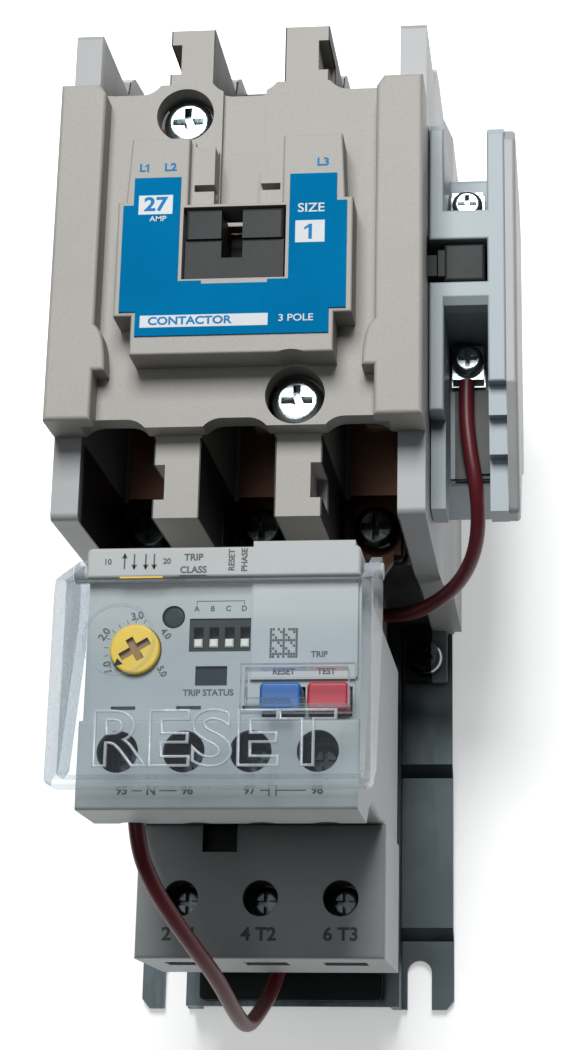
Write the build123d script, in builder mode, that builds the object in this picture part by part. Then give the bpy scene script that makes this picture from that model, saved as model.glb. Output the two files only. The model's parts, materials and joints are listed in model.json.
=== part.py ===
# A panel-mounted motor starter: a three-pole contactor with a side auxiliary contact,
# an electronic overload relay below it, and two control wires, on one pressed steel plate.
# X runs across the panel, Y up towards the line terminals and Z out of the panel.
import os
from math import radians, tan

from build123d import *

os.makedirs("parts", exist_ok=True)

# Driving dimensions, in millimetres
plate_width = 64
plate_length = 181
plate_gauge = 2
plateau_top = 10
frame_width = 65           # contactor housing
post_face = 100.8          # front of the posts between the terminal bays
cover_face = 105.5         # front of the recessed middle of the cover
ear_face = 110.5           # front of the cover's two side ears
panel_face = 112.6         # front of the raised label panel
load_end = -14.9           # ends of the posts
line_end = 78.9
middle = (load_end + line_end) / 2
pole_pitch = 21.2
bay_width = 13
stroke = 5.5               # travel of the contact carrier
relay_width = 45           # overload relay
relay_x = 0.65
relay_face = 117
wire_diameter = 2.8

pole_places = [-pole_pitch, 0, pole_pitch]
half_frame = frame_width / 2
post_inner = 6.4
post_outer = 14.7
side_post = 27.7
relay_left = relay_x - relay_width / 2
relay_right = relay_x + relay_width / 2
low_corner = (Align.MIN, Align.MIN, Align.MIN)
standing = (Align.CENTER, Align.CENTER, Align.MIN)


def brick(x0, x1, y0, y1, z0, z1, mode=Mode.ADD):
    """A rectangular block between two corners, added to the part being built."""
    with Locations((x0, y0, z0)):
        Box(x1 - x0, y1 - y0, z1 - z0, align=low_corner, mode=mode)


def post(x, y, z0, z1, radius, mode=Mode.ADD):
    """An upright cylinder, added to the part being built."""
    with Locations((x, y, z0)):
        Cylinder(radius, z1 - z0, align=standing, mode=mode)


def flat_shape(points, z0, z1, mode=Mode.ADD):
    """A closed outline in X and Y, extruded from z0 up to z1."""
    with BuildSketch(Plane.XY.offset(z0)) as outline:
        with BuildLine():
            Polyline(*points, close=True)
        make_face()
    extrude(outline.sketch, amount=z1 - z0, mode=mode)


def side_shape(points, x0, x1, mode=Mode.ADD):
    """A closed outline of Y and Z points, extruded from x0 across to x1."""
    with BuildSketch(Plane.YZ.offset(x0)) as outline:
        with BuildLine():
            Polyline(*points, close=True)
        make_face()
    extrude(outline.sketch, amount=x1 - x0, mode=mode)


def mirrored(points):
    """The points of a right half outline followed by their left-hand images."""
    return points + [(-x, y) for x, y in reversed(points)]


def save(piece, label):
    piece.part.label = label
    export_step(piece.part, f"parts/{label}.step")


def pan_screw(piece_name, places, seat, tip, head_radius, head_height, shank_radius):
    """A group of pan-head screws with a cross recess; places are X and Y pairs."""
    with BuildPart() as screws:
        for x, y in places:
            post(x, y, tip, seat, shank_radius)
            post(x, y, seat, seat + head_height, head_radius)
        rims = screws.faces().filter_by(Axis.Z).group_by(Axis.Z)[-1].edges()
        fillet(rims, head_height * 0.45)
        top = seat + head_height
        slot_half = head_radius * 0.62
        slot_width = head_radius * 0.3
        depth = head_height * 0.7
        for x, y in places:
            brick(x - slot_half, x + slot_half, y - slot_width / 2, y + slot_width / 2, top - depth, top + 1,
                  mode=Mode.SUBTRACT)
            brick(x - slot_width / 2, x + slot_width / 2, y - slot_half, y + slot_half, top - depth, top + 1,
                  mode=Mode.SUBTRACT)
    save(screws, piece_name)


# ---------------------------------------------------------------- base plate
slot_x = 25
slot_width = 5
slot_top = -80.8
half_length = plate_length / 2
half_plate = plate_width / 2
plateau_half = 21.5
centre_pad_radius = 8.5
line_hole_radius = 2.6
line_hole_y = 84.5

with BuildPart() as base_plate:
    flange_top = [(-half_length, 2), (-77, 2), (-74.5, 4.5), (-44, 4.5), (-41.5, 7),
                  (75, 7), (79, 2), (half_length, 2)]
    flange_bottom = [(y, z - plate_gauge) for y, z in reversed(flange_top)]
    wall_top = [(half_length, plateau_top), (-half_length, plateau_top)]
    for sign in (-1, 1):
        inner, outer = sorted((sign * (plateau_half - plate_gauge), sign * half_plate))
        side_shape(flange_top + flange_bottom, inner, outer)
        inner, outer = sorted((sign * (plateau_half - plate_gauge), sign * plateau_half))
        side_shape(wall_top + list(reversed(flange_bottom)), inner, outer)
    brick(-plateau_half, plateau_half, -half_length, half_length, plateau_top - plate_gauge, plateau_top)
    post(0, 0, 0, plateau_top, centre_pad_radius)
    post(0, 0, plate_gauge, plateau_top, centre_pad_radius - plate_gauge, mode=Mode.SUBTRACT)
    for sign in (-1, 1):
        brick(sign * slot_x - slot_width / 2, sign * slot_x + slot_width / 2, -half_length - 1,
              slot_top - slot_width / 2, -1, 5, mode=Mode.SUBTRACT)
        post(sign * slot_x, slot_top - slot_width / 2, -1, 5, slot_width / 2, mode=Mode.SUBTRACT)
        post(sign * slot_x, line_hole_y, -1, 5, line_hole_radius, mode=Mode.SUBTRACT)
        post(sign * 26.5, -20, 0, 8, 2, mode=Mode.SUBTRACT)
        flat_shape([(sign * 29.6, -half_length - 1), (sign * 33, -half_length - 1), (sign * 33, -87.5)],
                   -1, 5, mode=Mode.SUBTRACT)
save(base_plate, "base_plate")

foot_top = 9.5
pan_screw("plate_screws", [(-26.5, -20), (26.5, -20)], foot_top, 1.5, 3.7, 3.4, 2)

# ---------------------------------------------------------------- contactor housing
deck_bottom = 57
deck_top = 62
barrier_top = 75
coil_pad_top = 38
load_screw_y, line_screw_y = -8, 69

with BuildPart() as contactor_base:
    side_outline = [(-14, 7), (-13, 40), (load_end - 0.3, 62), (load_end, post_face), (line_end, post_face),
                    (line_end, 76), (82.5, 74.5), (85.2, 70.5), (86.5, 62), (86.5, 7)]
    for sign in (-1, 1):
        inner, outer = sorted((sign * side_post, sign * half_frame))
        side_shape(side_outline, inner, outer)
    edges = contactor_base.edges().filter_by(Axis.X).group_by(Axis.Z)[-1]
    fillet(edges, 1.2)
    for sign in (-1, 1):
        with BuildSketch(Plane.XZ.offset(13.5)):
            with BuildLine():
                Polyline((sign * half_frame, 47.5), (sign * 34, 38), (sign * 34, 7), (sign * half_frame, 7), close=True)
            make_face()
        extrude(amount=-99.5)
        inner, outer = sorted((sign * 22.5, sign * 31))
        brick(inner, outer, -24.5, -13, 7, foot_top)
    brick(-side_post, side_post, -13.4, -9.4, plateau_top, deck_top)
    brick(-side_post, side_post, 81, 85.5, plateau_top, deck_top)
    brick(-side_post, side_post, -13.4, 85.5, deck_bottom, deck_top)
    for sign in (-1, 1):
        inner, outer = sorted((sign * post_inner, sign * post_outer))
        brick(inner, outer, load_end, 20, deck_top, barrier_top)
        side_shape([(44, deck_top), (44, barrier_top), (line_end, barrier_top), (82.3, 73.8), (84.8, 70),
                    (85.5, deck_top)], inner, outer)
        inner, outer = sorted((sign * 11, sign * 20))
        brick(inner, outer, -22, -13, 28, coil_pad_top)
    brick(-24.5, 24.5, 17, 47, deck_bottom - 1, deck_top + 1, mode=Mode.SUBTRACT)
    # slot for the side arm that drives the auxiliary contact
    brick(side_post - 1, 35, 30, 38.4, 80, 99, mode=Mode.SUBTRACT)
    for sign in (-1, 1):
        post(sign * 26.5, -20, 6, 10, 2, mode=Mode.SUBTRACT)
        inner, outer = sorted((sign * 12.9, sign * 18.1))
        brick(inner, outer, -23, -5, coil_pad_top, coil_pad_top + 1.25, mode=Mode.SUBTRACT)
        post(sign * 15.5, -18, 31, 39, 1.5, mode=Mode.SUBTRACT)
        for end_y in (load_screw_y, line_screw_y):
            post(sign * pole_pitch, end_y, 58, 63, 2, mode=Mode.SUBTRACT)
    for end_y in (load_screw_y, line_screw_y):
        post(0, end_y, 58, 63, 2, mode=Mode.SUBTRACT)
    post(-10.7, 59.3, 60, 76, 2.1, mode=Mode.SUBTRACT)
    post(10.3, 5.4, 60, 76, 2.1, mode=Mode.SUBTRACT)
save(contactor_base, "contactor_base")

# ---------------------------------------------------------------- magnet and coil
core_y0, core_y1 = middle - 24, middle + 24
leg = 7
centre_leg = 12
pole_top = 40
stack = 10

with BuildPart() as magnet_cushion:
    brick(-16, 16, core_y0, core_y1, plateau_top, 12.5)
    fillet(magnet_cushion.edges().filter_by(Axis.Z), 3)
save(magnet_cushion, "magnet_cushion")

with BuildPart() as magnet_core:
    brick(-stack, stack, core_y0, core_y1, 12.5, 20)
    brick(-stack, stack, core_y0, core_y0 + leg, 12.5, pole_top)
    brick(-stack, stack, core_y1 - leg, core_y1, 12.5, pole_top)
    brick(-stack, stack, middle - centre_leg / 2, middle + centre_leg / 2, 12.5, pole_top - 0.3)
    for y in (core_y0 + leg / 2, core_y1 - leg / 2):
        for x in (-stack + 3, stack - 4.2):
            brick(x, x + 1.2, y - leg, y + leg, pole_top - 2.5, pole_top + 1, mode=Mode.SUBTRACT)
save(magnet_core, "magnet_core")

with BuildPart() as shading_rings:
    for y in (core_y0 + leg / 2, core_y1 - leg / 2):
        brick(-stack + 3, stack - 3, y - leg / 2 - 0.4, y + leg / 2 + 0.4, pole_top - 2.4, pole_top - 1.2)
        brick(-stack + 4.2, stack - 4.2, y - leg / 2, y + leg / 2, pole_top - 3, pole_top, mode=Mode.SUBTRACT)
save(shading_rings, "shading_rings")

bobbin_wall = 1.2
with BuildPart() as coil_bobbin:
    brick(-19, 19, middle - 16.4, middle + 16.4, 20.3, 21.8)
    brick(-19, 19, middle - 16.4, middle + 16.4, coil_pad_top - 1.5, coil_pad_top)
    brick(-stack - 1.5, stack + 1.5, middle - 7.5, middle + 7.5, 21, coil_pad_top)
    brick(-stack - 0.3, stack + 0.3, middle - 6.3, middle + 6.3, 20, coil_pad_top + 1, mode=Mode.SUBTRACT)
save(coil_bobbin, "coil_bobbin")

with BuildPart() as coil_winding:
    brick(-18, 18, middle - 15.4, middle + 15.4, 21.9, coil_pad_top - 1.6)
    fillet(coil_winding.edges().filter_by(Axis.Z), 4)
    brick(-stack - 1.6, stack + 1.6, middle - 7.6, middle + 7.6, 21, coil_pad_top, mode=Mode.SUBTRACT)
save(coil_winding, "coil_winding")

with BuildPart() as coil_terminals:
    for sign in (-1, 1):
        inner, outer = sorted((sign * 13, sign * 18))
        brick(inner, outer, -22, middle - 14, coil_pad_top, coil_pad_top + 1.2)
        inner, outer = sorted((sign * 12, sign * 19))
        brick(inner, outer, -21.5, -14.5, coil_pad_top + 1.2, coil_pad_top + 4.2)
    for sign in (-1, 1):
        post(sign * 15.5, -18, 30, 50, 1.5, mode=Mode.SUBTRACT)
save(coil_terminals, "coil_terminals")
pan_screw("coil_terminal_screws", [(-15.5, -18), (15.5, -18)], coil_pad_top + 4.2, 32, 3, 2.2, 1.5)

# ---------------------------------------------------------------- power terminals and fixed contacts
terminal_top = deck_top + 2.5
with BuildPart() as line_terminals:
    for x in pole_places:
        brick(x - 5.2, x + 5.2, middle + 13.5, 77, deck_top, terminal_top)
    fillet(line_terminals.edges().filter_by(Axis.Z).group_by(Axis.Y)[-1], 1.5)
    for x in pole_places:
        post(x, line_screw_y, 60, 66, 2, mode=Mode.SUBTRACT)
save(line_terminals, "line_terminals")

with BuildPart() as load_terminals:
    for x in pole_places:
        brick(x - 5.2, x + 5.2, -13.2, middle - 13.5, deck_top, terminal_top)
    fillet(load_terminals.edges().filter_by(Axis.Z).group_by(Axis.Y)[0], 1.5)
    for x in pole_places:
        post(x, load_screw_y, 60, 66, 2, mode=Mode.SUBTRACT)
save(load_terminals, "load_terminals")

with BuildPart() as fixed_contact_tips:
    for x in pole_places:
        for y in (middle - 16.5, middle + 16.5):
            brick(x - 2.8, x + 2.8, y - 2.5, y + 2.5, terminal_top, terminal_top + 1.6)
    fillet(fixed_contact_tips.edges().filter_by(Axis.Z), 0.8)
save(fixed_contact_tips, "fixed_contact_tips")

clamp_top = terminal_top + 2.2
with BuildPart() as line_clamps:
    for x in pole_places:
        brick(x - 5, x + 5, 64, 74, terminal_top, clamp_top)
        for side in (-1, 1):
            with Locations((x + side * 3.4, line_screw_y, terminal_top)):
                Cylinder(1.3, 12, rotation=(90, 0, 0), mode=Mode.SUBTRACT)
    for x in pole_places:
        post(x, line_screw_y, 60, 68, 2, mode=Mode.SUBTRACT)
save(line_clamps, "line_clamps")

pan_screw("line_terminal_screws", [(x, line_screw_y) for x in pole_places], clamp_top, 58.5, 4.2, 3.2, 2)
bar_gauge = 2
pan_screw("load_terminal_screws", [(x, load_screw_y) for x in pole_places], terminal_top + bar_gauge, 58.5, 4.2,
          3.2, 2)

# ---------------------------------------------------------------- contactor cover
ear_inner = 24.3
screw_pocket_radius = 5.2
window_half = 9
window_low, window_high = 24.4, 37.9
channel_half = 3.9
cover_screw_places = [(-10.7, 59.3), (10.3, 5.4)]
pocket_floor = 99.5

with BuildPart() as contactor_cover:
    flat_shape([(-half_frame, 0), (half_frame, 0), (half_frame, 63.6), (24.6, 63.6), (15, 65.4), (-15, 65.4),
                (-24.6, 63.6), (-half_frame, 63.6)], post_face, cover_face)
    for sign in (-1, 1):
        with BuildSketch(Plane.XY.offset(cover_face)):
            with BuildLine():
                Polyline((sign * ear_inner, 17.4), (sign * ear_inner, 61.6), (sign * 25.6, 63.6),
                         (sign * half_frame, 63.6), (sign * half_frame, 0), (sign * ear_inner, 0),
                         (sign * ear_inner, 8.9), (sign * 22.2, 8.9))
                Spline((sign * 22.2, 8.9), (sign * 22.5, 13.2), (sign * ear_inner, 17.4),
                       tangents=((0, 1), (sign * 0.9, 0.7)))
            make_face()
        extrude(amount=ear_face - cover_face)
    rounded = contactor_cover.faces().group_by(Axis.Z)[-1].edges()
    fillet(rounded, 0.7)
    for sign in (-1, 1):
        inner, outer = sorted((sign * post_inner, sign * post_outer))
        brick(inner, outer, load_end, 20, barrier_top, post_face)
        brick(inner, outer, 44, line_end, barrier_top, post_face)
    # arch over each terminal bay, at both ends
    for x in pole_places:
        for bay_y in (-11, 76):
            with BuildSketch(Plane.XY.offset(barrier_top - 1)):
                with Locations((x, bay_y)):
                    RectangleRounded(bay_width, 25, 4.2)
            extrude(amount=cover_face + 2 - barrier_top, mode=Mode.SUBTRACT)
    # notches in the posts, on the sides facing the outer bays
    for sign in (-1, 1):
        inner, outer = sorted((sign * (post_outer - 2), sign * (post_outer + 1)))
        brick(inner, outer, -11.6, -5.3, 90, post_face + 1, mode=Mode.SUBTRACT)
        brick(inner, outer, 70, 76, 90, post_face + 1, mode=Mode.SUBTRACT)
    # window for the contact carrier and the groove that leads up from it
    brick(-window_half, window_half, window_low, window_high, post_face - 1, ear_face + 3, mode=Mode.SUBTRACT)
    brick(-channel_half, channel_half, window_high - 1, 66, cover_face - 1.6, cover_face + 1, mode=Mode.SUBTRACT)
    for x, y in cover_screw_places:
        post(x, y, pocket_floor, ear_face, screw_pocket_radius, mode=Mode.SUBTRACT)
        post(x, y, barrier_top - 1, pocket_floor, 2.1, mode=Mode.SUBTRACT)
save(contactor_cover, "contactor_cover")
pan_screw("cover_screws", cover_screw_places, pocket_floor, 61, 4.5, 3.2, 2.1)

with BuildPart() as label_panel:
    panel_outline = mirrored([(17.5, 10.7), (17.5, 17.8), (20.6, 17.8), (20.6, 39.2), (19.2, 39.2), (18.6, 51.3),
                              (8.3, 51.3), (8.3, window_high + 0.6)])
    flat_shape(panel_outline, cover_face, panel_face)
    fillet(label_panel.faces().sort_by(Axis.Z)[-1].edges(), 0.4)
    for sign in (-1, 1):
        inner, outer = sorted((sign * (channel_half + 0.2), sign * 9))
        brick(inner, outer, window_high, 51.3, cover_face, 110.6)
    brick(-window_half, window_half, window_low, window_high, cover_face - 1, panel_face + 1, mode=Mode.SUBTRACT)
    # latch slots that open into the groove
    for sign in (-1, 1):
        for y in (41.7, 50.4):
            inner, outer = sorted((sign * channel_half, sign * 7.6))
            brick(inner, outer, y, y + 1.3, 107, 112, mode=Mode.SUBTRACT)
    for x, y in cover_screw_places:
        post(x, y, cover_face - 1, panel_face + 1, screw_pocket_radius + 0.6, mode=Mode.SUBTRACT)
save(label_panel, "label_panel")

label_gauge = 0.3
with BuildPart() as name_label:
    flat_shape(mirrored([(16.7, 14), (16.7, 18.5), (19.6, 18.5), (19.6, 38.4), (17.8, 38.4), (17.8, 43.6),
                         (9.6, 43.6), (9.6, 24)]), panel_face, panel_face + label_gauge)
    brick(-5.5, 6, 23.4, 24.5, panel_face - 1, panel_face + 1, mode=Mode.SUBTRACT)
save(name_label, "name_label")

# ---------------------------------------------------------------- moving contact carrier
bridge_bottom = terminal_top + 1.6 + stroke + 0.1
tip_gauge = 1.4
bridge_gauge = 1.6
carrier_low, carrier_high = middle - 6, middle + 5
carrier_floor = deck_top + stroke + 0.5
carrier_face = 112.3

with BuildPart() as contact_carrier:
    brick(-window_half + 0.4, window_half - 0.4, window_low + 0.4, window_high - 0.3, 94, carrier_face)
    fillet(contact_carrier.faces().sort_by(Axis.Z)[-1].edges(), 0.7)
    brick(-26.5, 26.5, carrier_low, carrier_high, carrier_floor, 95)
    for x in pole_places:
        brick(x - 4.4, x + 4.4, carrier_low - 1, carrier_high + 1, bridge_bottom + tip_gauge, 88,
              mode=Mode.SUBTRACT)
    for sign in (-1, 1):
        inner, outer = sorted((sign * 10.3, sign * 13))
        brick(inner, outer, carrier_low + 2, carrier_high - 1, 49, carrier_floor)
    # arm through the side of the housing, which moves the auxiliary contact
    brick(26, 33.9, middle, middle + 4, 89, 93)
    # notch and step in the front face
    brick(-2.3, 1.4, 28.6, carrier_high + 2, 101, carrier_face + 1, mode=Mode.SUBTRACT)
    brick(-9, 9, window_low, 32, carrier_face - 0.6, carrier_face + 1, mode=Mode.SUBTRACT)
    with Locations((0, middle, 53.5)):
        Cylinder(1.55, 40, rotation=(0, 90, 0), mode=Mode.SUBTRACT)
save(contact_carrier, "contact_carrier")

with BuildPart() as armature:
    gap_face = pole_top + stroke + 0.5
    brick(-stack, stack, core_y0, core_y1, gap_face + 4, gap_face + 11)
    brick(-stack, stack, core_y0, core_y0 + leg, gap_face, gap_face + 5)
    brick(-stack, stack, core_y1 - leg, core_y1, gap_face, gap_face + 5)
    brick(-stack, stack, middle - 6, middle + 6, gap_face, gap_face + 5)
    with Locations((0, middle, 53.5)):
        Cylinder(1.5, 40, rotation=(0, 90, 0), mode=Mode.SUBTRACT)
save(armature, "armature")

with BuildPart() as armature_pin:
    with Locations((0, middle, 53.5)):
        Cylinder(1.5, 27, rotation=(0, 90, 0))
    chamfer(armature_pin.edges(), 0.3)
save(armature_pin, "armature_pin")

with BuildPart() as moving_contacts:
    for x in pole_places:
        low = bridge_bottom + tip_gauge
        brick(x - 3.5, x + 3.5, middle - 19.5, middle + 19.5, low, low + bridge_gauge)
    fillet(moving_contacts.edges().filter_by(Axis.Z), 1.5)
save(moving_contacts, "moving_contacts")

with BuildPart() as moving_contact_tips:
    for x in pole_places:
        for y in (middle - 16.5, middle + 16.5):
            brick(x - 2.8, x + 2.8, y - 2.5, y + 2.5, bridge_bottom, bridge_bottom + tip_gauge)
    fillet(moving_contact_tips.edges().filter_by(Axis.Z), 0.8)
save(moving_contact_tips, "moving_contact_tips")


def coil_spring(name, places, z0, z1, mean_radius, wire, turns):
    """A group of open-wound springs standing on z0 and reaching z1."""
    with BuildPart() as springs:
        for x, y in places:
            pitch = (z1 - z0 - wire) / turns
            with BuildLine(Plane((x, y, z0 + wire / 2))) as coil:
                Helix(pitch=pitch, height=z1 - z0 - wire, radius=mean_radius)
            with BuildSketch(Plane(coil.line @ 0, z_dir=coil.line % 0)) as section:
                Circle(wire / 2)
            sweep(section.sketch, path=coil.line, is_frenet=True)
    save(springs, name)


spring_seat = bridge_bottom + tip_gauge + bridge_gauge
coil_spring("contact_springs", [(x, middle - 0.5) for x in pole_places], spring_seat, 88, 2.4, 0.8, 5)
coil_spring("return_springs", [(-16.5, middle), (16.5, middle)], coil_pad_top, carrier_floor, 2.4, 0.8, 9)

# ---------------------------------------------------------------- auxiliary contact on the right side
aux_left = half_frame + 0.2
aux_wall = 2.6
aux_right_wall = 43.1
aux_right = 46.3
aux_outside = 48.3
aux_face = 95
aux_back = 48
aux_floor = 72
aux_window_low, aux_window_high = 30, 38.2
aux_screw_x = 38.7
aux_screw_places = [(aux_screw_x, 21.8), (aux_screw_x, 53)]
tongue_end, tongue_back = -10.5, 80
# the walls step back towards their lower ends: lower Y limit of each step and its front face
left_steps = [(5.8, 95), (tongue_end, 89)]
right_steps = [(11, 95), (5.5, 92.5), (-1, 90), (tongue_end, 87)]


def stepped_wall(steps, top_y, x0, x1):
    """A side wall whose front face steps back towards its lower end."""
    outline = [(0, aux_floor), (tongue_end, tongue_back), (tongue_end, steps[-1][1])]
    for (y, z), (next_y, next_z) in zip(reversed(steps[:-1]), reversed(steps[1:])):
        outline += [(y, next_z), (y, z)]
    side_shape(outline + [(top_y - 1.5, aux_face), (top_y, aux_face - 1.5), (top_y, aux_floor)], x0, x1)


with BuildPart() as aux_housing:
    brick(aux_left, aux_right, -1, 60.5, aux_back, aux_floor)
    fillet(aux_housing.edges().filter_by(Axis.X), 0.9)
    stepped_wall(left_steps, 61.5, aux_left, aux_left + aux_wall)
    stepped_wall(right_steps, 60.5, aux_right_wall, aux_right)
    brick(aux_left, aux_right, aux_window_high, 43.9, aux_floor - 1, aux_face)
    side_shape([(aux_window_low, aux_face), (27.2, aux_face), (25.8, 94), (25.3, 91.5), (25.3, aux_floor),
                (aux_window_low, aux_floor)], aux_left, aux_right)
    brick(aux_left - 1, aux_right_wall, aux_window_low, aux_window_high, 60, aux_face + 1, mode=Mode.SUBTRACT)
    for x, y in aux_screw_places:
        post(x, y, 66, aux_floor + 1, 1.5, mode=Mode.SUBTRACT)
    front = aux_housing.faces().filter_by(Axis.Z).group_by(Axis.Z)[-1].edges()
    fillet(front, 0.4)
    # raised floor of the lower terminal bay, lower under the wire
    brick(39.6, aux_right_wall, 0.8, 17, aux_floor - 1, aux_floor + 0.9)
    brick(aux_left + aux_wall, 36.4, 0, 17, aux_floor - 1, aux_floor + 0.6)
    brick(aux_left + aux_wall, aux_right_wall, 0, 17, aux_floor - 1, aux_floor + 0.3)
save(aux_housing, "aux_housing")

with BuildPart() as aux_side_cover:
    with BuildSketch(Plane.YZ.offset(aux_right)) as outline:
        with BuildLine():
            Polyline((tongue_end, 86), (tongue_end, tongue_back), (2, 66), (8, aux_back), (58, aux_back), (61, 60),
                     (60.5, 93), (58, aux_face - 0.4), (11, aux_face - 0.4), (-1, 90), close=True)
        make_face()
        fillet(outline.vertices(), 1.5)
    extrude(outline.sketch, amount=aux_outside - aux_right)
    fillet(aux_side_cover.faces().sort_by(Axis.X)[-1].edges(), 0.7)
save(aux_side_cover, "aux_side_cover")

aux_terminal_top = 75.4
with BuildPart() as aux_terminals:
    for x, y in aux_screw_places:
        brick(x - 3.1, x + 3.1, y - 4.2, y + 3.3, aux_floor, aux_floor + 1.2)
        brick(x - 2.9, x + 2.9, y - 3.4, y + 3.1, aux_floor + 1.2, aux_terminal_top)
    for x, y in aux_screw_places:
        post(x, y, 66, 80, 1.5, mode=Mode.SUBTRACT)
save(aux_terminals, "aux_terminals")
pan_screw("aux_terminal_screws", aux_screw_places, aux_terminal_top, 67, 2.9, 2.2, 1.5)

with BuildPart() as aux_plunger:
    brick(35.3, 42.6, 30.5, 37.7, 80, 94)
    fillet(aux_plunger.faces().sort_by(Axis.Z)[-1].edges(), 0.6)
    brick(35.3, 37, 30.5, 37.7, 71, 81)
    brick(41, 42.6, 30.5, 37.7, 71, 81)
    brick(34.2, 35.4, middle - 0.5, middle + 4.5, 93.2, 94)
    brick(34.2, 35, middle - 0.5, middle + 4.5, 86, 93.3)
save(aux_plunger, "aux_plunger")

with BuildPart() as aux_bridge:
    brick(35.6, 42.3, 31.5, 36.7, 69.6, 70.9)
    fillet(aux_bridge.edges().filter_by(Axis.Z), 0.8)
save(aux_bridge, "aux_bridge")
coil_spring("aux_spring", [(39, 34.1)], 60, 69.5, 1.8, 0.6, 6)

# ---------------------------------------------------------------- overload relay
relay_top, relay_bottom = -27, -67.4
front_back = 92
shell = 2
control_places = [relay_x + step * 10.7 for step in (-1.5, -0.5, 0.5, 1.5)]
control_y = -58.2
dial_x, dial_y, dial_radius = -13.7, -41.1, 4.1
lens_x, lens_y, lens_radius = -7.7, -35.6, 1.9
dip_left, dip_right, dip_low, dip_high = -5, 5.2, -41.4, -35.9
dip_centre = 0.3
status_left, status_right, status_low, status_high = -3.8, 1.4, -47, -43.8
button_width, button_low, button_high = 6.6, -52, -47.5
reset_x, test_x = 10.7, 18.3
upper_face = 114
hinge_y, hinge_z, hinge_radius = -27.5, 110.8, 1.4
load_places = [relay_x - 14.46, relay_x, relay_x + 14.46]
block_top, block_bottom = -62, -85.8
block_face, block_back = 64, 34

with BuildPart() as overload_base:
    brick(relay_left + 0.4, relay_right - 0.4, block_top, relay_top, block_back, front_back)
    fillet(overload_base.edges().filter_by(Axis.Z), 1)
    brick(relay_left + 0.4 + shell, relay_right - 0.4 - shell, block_top + shell, -31, 46, front_back + 1,
          mode=Mode.SUBTRACT)
    for x in load_places:
        brick(x - 4, x + 4, -32, -26, terminal_top, terminal_top + bar_gauge, mode=Mode.SUBTRACT)
        brick(x - 4, x + 4, -63, -59, 48, 50, mode=Mode.SUBTRACT)
save(overload_base, "overload_base")

foot_half = 18.3
foot_top_z = 13
with BuildPart() as overload_foot:
    brick(-foot_half, foot_half, 1 - half_length, -29, plateau_top, foot_top_z)
    for sign in (-1, 1):
        inner, outer = sorted((sign * 9, sign * foot_half))
        brick(inner, outer, block_top + 0.5, -29.5, plateau_top, block_back)
        brick(inner, outer, -83, block_top + 1, plateau_top, 24)
    fillet(overload_foot.edges().filter_by(Axis.Z).group_by(Axis.Y)[0], 1)
    post(-2, -86.5, foot_top_z - 1.4, foot_top_z + 1, 2.2, mode=Mode.SUBTRACT)
save(overload_foot, "overload_foot")

with BuildPart() as overload_front:
    side_shape([(-62, front_back), (-64.2, 98), (relay_bottom, 102), (relay_bottom, relay_face),
                (-53.2, relay_face), (-52.6, upper_face), (-30, upper_face), (-29.6, relay_face),
                (-24.6, relay_face), (-24.6, 109), (relay_top, 107), (relay_top, front_back)],
               relay_left, relay_right)
    fillet(overload_front.edges().filter_by(Axis.Z).group_by(Axis.Y)[-1], 0.9)
    fillet(overload_front.edges().filter_by(Axis.X).group_by(Axis.Z)[-1], 0.5)
    brick(5.6, relay_right - 0.9, -25.2, -23.8, 109.6, relay_face)
    brick(dip_right, relay_right - 0.9, -46.2, -29.8, upper_face - 0.5, upper_face + 0.7)
    brick(relay_left + shell, relay_right - shell, -61, relay_top - shell, front_back - 1, upper_face - 3,
          mode=Mode.SUBTRACT)
    # terminal chambers, screw holes and the wire entries under them
    for x in control_places:
        brick(x - 3.9, x + 3.9, -62.6, -53.8, front_back - 1, 108, mode=Mode.SUBTRACT)
        post(x, control_y, 100, relay_face + 1, 3.35, mode=Mode.SUBTRACT)
        with Locations((x, -64, 101)):
            Cylinder(2.4, 10, rotation=(90, 0, 0), mode=Mode.SUBTRACT)
        brick(x - 2, x + 2, -50.9, -50.3, 112.8, 115, mode=Mode.SUBTRACT)
    post(dial_x, dial_y, 105, 115, dial_radius + 0.15, mode=Mode.SUBTRACT)
    post(lens_x, lens_y, 105, 115, lens_radius, mode=Mode.SUBTRACT)
    brick(dip_left, dip_right, dip_low, dip_high, 105, 115, mode=Mode.SUBTRACT)
    brick(status_left, status_right, status_low, status_high, 105, 115, mode=Mode.SUBTRACT)
    for x in (reset_x, test_x):
        brick(x - button_width / 2 - 0.2, x + button_width / 2 + 0.2, button_low - 0.2, button_high + 0.2,
              104, 115, mode=Mode.SUBTRACT)
    # hinge pins for the clear cover
    for sign in (-1, 1):
        end = relay_x + sign * (relay_width / 2 + 1.4)
        with Locations((end, hinge_y, hinge_z)):
            Cylinder(hinge_radius, 3.6, rotation=(0, 90, 0))
save(overload_front, "overload_front")

with BuildPart() as overload_terminal_block:
    brick(relay_left, relay_right, block_bottom, block_top, block_back, block_face)
    fillet(overload_terminal_block.faces().sort_by(Axis.Z)[-1].edges(), 0.6)
    brick(-10.1, -3.8, -67, block_top + 1, block_face - 4, block_face + 1, mode=Mode.SUBTRACT)
    for x in load_places:
        brick(x - 5, x + 5, -83.8, block_top - 2, 44, 56.5, mode=Mode.SUBTRACT)
        brick(x - 4, x + 4, block_bottom - 1, -80, 50, 56.5, mode=Mode.SUBTRACT)
        brick(x - 4, x + 4, block_top - 3, block_top + 1, 48, 50, mode=Mode.SUBTRACT)
        post(x, -75.2, 55, block_face + 1, 3.2, mode=Mode.SUBTRACT)
save(overload_terminal_block, "overload_terminal_block")

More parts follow.
